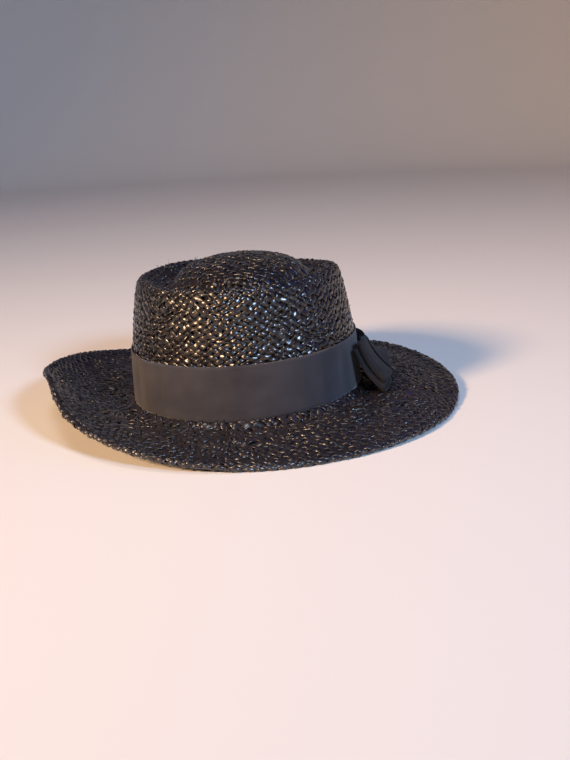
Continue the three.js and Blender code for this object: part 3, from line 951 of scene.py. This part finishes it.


# Painted shade: the bow is the band's own ribbon, but its colours are made about half as light as the band's
# because it stands on the hat's shaded side
shaded_bow_charcoal = grosgrain("charcoal_grosgrain_bow", 0x0F0E12, 0x1D1C22, 0.08, 0.15)
layers = np.array(BOW_LAYERS)
for name, half_length, face_up, back_up, column, node in BOW_LOOPS:
    inner_end, outer_end = (np.interp(half_length, layers[:, 0], layers[:, c]) for c in (column, column + 1))
    radius = (outer_end - inner_end) / 2
    straight = half_length - radius - RIBBON_THICK / 2
    flat = np.linspace(-straight, straight, LOOP_STEPS)
    fold = np.linspace(-np.pi / 2, np.pi / 2, FOLD_STEPS)[1:-1]
    inner_off = np.interp(np.abs(flat), layers[:, 0], layers[:, column])
    outer_off = np.interp(np.abs(flat), layers[:, 0], layers[:, column + 1])
    middle_off = (inner_end + outer_end) / 2
    distance = np.concatenate(
        [flat, straight + radius * np.cos(fold), flat[::-1], -straight - radius * np.cos(fold)]
    )
    off = np.concatenate(
        [inner_off, middle_off + radius * np.sin(fold), outer_off[::-1], middle_off - radius * np.sin(fold)]
    )
    line = np.stack([distance, off], -1)
    ahead = np.roll(line, -1, 0) - np.roll(line, 1, 0)
    ahead /= np.linalg.norm(ahead, axis=1, keepdims=True)
    shares = np.linspace(0, 1, LOOP_ROWS)
    share = np.concatenate([shares, shares[::-1]])
    thick = np.repeat([-0.5, 0.5], LOOP_ROWS) * RIBBON_THICK
    away = np.abs(distance)
    gather = smooth_step(away, KNOT_WIDTH / 2, KNOT_WIDTH / 2 + GATHER_LENGTH)
    raised = face_up + (back_up - face_up) * (distance + half_length) / (2 * half_length)
    low = KNOT_LOW + (raised - KNOT_LOW) * gather
    high = KNOT_HIGH + (RIBBON_WIDTH + raised - KNOT_HIGH) * gather
    up = low[:, None] + (high - low)[:, None] * share
    fades = np.exp(-away / PLEAT_REACH) * (away > 0)
    pleat = PLEAT_DEPTH * np.cos(6 * np.pi * share) * fades[:, None]
    pleat_off = pleat * np.where(away < KNOT_WIDTH / 2, PLEAT_UNDER_KNOT, 1.0)[:, None]
    bow_points = bow_at(
        distance[:, None] + thick * ahead[:, 1:], off[:, None] - thick * ahead[:, :1] + pleat_off, up
    )
    along = path_length(line)
    bow_coords = np.stack(np.broadcast_arrays(along[:, None] / 10, share * RIBBON_WIDTH / 10), -1)
    loop = tube(bow_points, bow_coords, name, shaded_bow_charcoal)
    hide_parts(node)

# Knot: a short piece of the ribbon folded narrow and wrapped round the bow's middle,
# with its ends stitched behind. Folding leaves two soft ridges along it.
KNOT_ROUND = 1.1
KNOT_PAST = 0.5
KNOT_CLEAR = 0.75
KNOT_STEPS = 13
KNOT_ROWS = 13
CORNER_STEPS = 7
RIDGE_TWICE = 0.3
RIDGE_ONCE = 0.25
WAIST = 0.1

knot_half = RIBBON_THICK / 2
knot_low, knot_high = KNOT_LOW - KNOT_PAST, KNOT_HIGH + KNOT_PAST
knot_back = BOW_LAYERS[0][1] - KNOT_CLEAR
knot_front = BOW_LAYERS[0][4] + KNOT_CLEAR
corner = np.linspace(0, np.pi / 2, CORNER_STEPS)
less = KNOT_ROUND * (1 - np.cos(corner))
more = KNOT_ROUND * (1 - np.sin(corner))
way_up = (knot_high - knot_low - 2 * KNOT_ROUND) * np.linspace(0, 1, KNOT_STEPS + 2)[1:-1]
front = np.full(KNOT_STEPS, knot_front)
back = np.full(KNOT_STEPS, knot_back)
# Up the front, over the top's two round corners, down the back, and under the foot's two
knot_off = [front, knot_front - less, knot_back + more, back, knot_back + less, knot_front - more]
knot_up = [
    knot_low + KNOT_ROUND + way_up,
    knot_high - more,
    knot_high - less,
    knot_high - KNOT_ROUND - way_up,
    knot_low + more,
    knot_low + less,
]
knot_line = np.stack([np.concatenate(knot_off), np.concatenate(knot_up)], -1)
knot_ahead = np.roll(knot_line, -1, 0) - np.roll(knot_line, 1, 0)
knot_ahead /= np.linalg.norm(knot_ahead, axis=1, keepdims=True)
knot_out = np.stack([knot_ahead[:, 1], -knot_ahead[:, 0]], -1)
shares = np.linspace(-0.5, 0.5, KNOT_ROWS)
share = np.concatenate([shares, shares[::-1]])
thick = np.repeat([-1.0, 1.0], KNOT_ROWS) * knot_half
ridge = RIDGE_TWICE * np.cos(4 * np.pi * share) + RIDGE_ONCE * np.cos(np.pi * share)
# The ridges are on the front only, where the line's outward side faces away from the band
lift = thick + ridge * (knot_out[:, :1] > 0.5)
waist = 1 - WAIST * np.sin(np.pi * (knot_line[:, 1:] - knot_low) / (knot_high - knot_low))
knot_along = path_length(knot_line)
knot_points = bow_at(
    share * KNOT_WIDTH * waist,
    knot_line[:, :1] + knot_out[:, :1] * lift,
    knot_line[:, 1:] + knot_out[:, 1:] * thick,
)
knot_coords = np.stack(np.broadcast_arrays(share * KNOT_WIDTH / 10, knot_along[:, None] / 10), -1)
knot = tube(knot_points, knot_coords, "ribbon_bow_knot", shaded_bow_charcoal)
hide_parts("bow_knot")

# Floor and light: a round pale matte floor with its rim swept up, a warm lamp in front
# on the left, a cool one in front on the right, a pale one overhead, a weak blue one
# from the side, and a dim blue room.
FLOOR_RADIUS = 1.9
SWEEP_RADIUS = 0.6
SWEEP_HEIGHT = 1.0
FLOOR_SIDES = 96
LAMPS_AIM = (0, 0, 0.05)
arc = np.radians(np.linspace(0, 90, 25))
sweep = np.concatenate(
    [
        np.stack([FLOOR_RADIUS + SWEEP_RADIUS * np.sin(arc), SWEEP_RADIUS * (1 - np.cos(arc))], -1),
        [(FLOOR_RADIUS + SWEEP_RADIUS, SWEEP_HEIGHT)],
    ]
)
around = np.linspace(0, 2 * np.pi, FLOOR_SIDES, endpoint=False)
rings = oval(sweep[:, :1], sweep[:, :1], around, sweep[:, 1:]).reshape(-1, 3)
floor_mesh = bpy.data.meshes.new("floor")
index = np.arange(len(rings)).reshape(-1, FLOOR_SIDES)
beside = np.roll(index, -1, axis=1)
quads = np.stack([index[:-1], index[1:], beside[1:], beside[:-1]], -1).reshape(-1, 4)
floor_faces = [list(range(FLOOR_SIDES))] + quads.tolist()
floor_mesh.from_pydata(rings.tolist(), [], floor_faces)
floor_mesh.polygons.foreach_set("use_smooth", np.ones(len(floor_faces), bool))
floor = bpy.data.objects.new("floor", floor_mesh)
bpy.context.scene.collection.objects.link(floor)
paper = bpy.data.materials.new("pale_paper")
paper.use_nodes = True
paper_skin = paper.node_tree.nodes["Principled BSDF"]
paper_skin.inputs["Base Color"].default_value = colour(0xE6E4E0)
paper_skin.inputs["Roughness"].default_value = 0.9
paper_skin.inputs["Specular IOR Level"].default_value = 0.1
floor_mesh.materials.append(paper)

LAMPS = (
    # name, place in metres, size in metres, watts, spread in degrees, colour
    ("warm_left", (-1.9, -1.8, 1.4), 0.5, 13.6, 60, 0xFFD0A0),
    ("cool_right", (1.25, -2.1, 1.3), 0.44, 7.2, 60, 0xB0D0F8),
    ("pale_top", (-0.4, -0.3, 2.8), 0.9, 11.4, 150, 0xFCF2EC),
    ("blue_side", (2.6, 0.5, 2.2), 2.2, 1.5, 60, 0x4C74FA),
)
for name, place, size, watts, spread, tint in LAMPS:
    lamp = bpy.data.lights.new(name, "AREA")
    lamp.spread = math.radians(spread)
    lamp.size = size
    lamp.energy = watts
    lamp.color = colour(tint)[:3]
    holder = bpy.data.objects.new(name, lamp)
    holder.location = place
    holder.rotation_euler = (Vector(LAMPS_AIM) - Vector(place)).to_track_quat("-Z", "Y").to_euler()
    bpy.context.scene.collection.objects.link(holder)
room = bpy.data.worlds.new("room")
room.use_nodes = True
room.node_tree.nodes["Background"].inputs["Color"].default_value = colour(0x8CA4F0)
room.node_tree.nodes["Background"].inputs["Strength"].default_value = 0.08
bpy.context.scene.world = room
bpy.context.scene.view_settings.view_transform = "Standard"
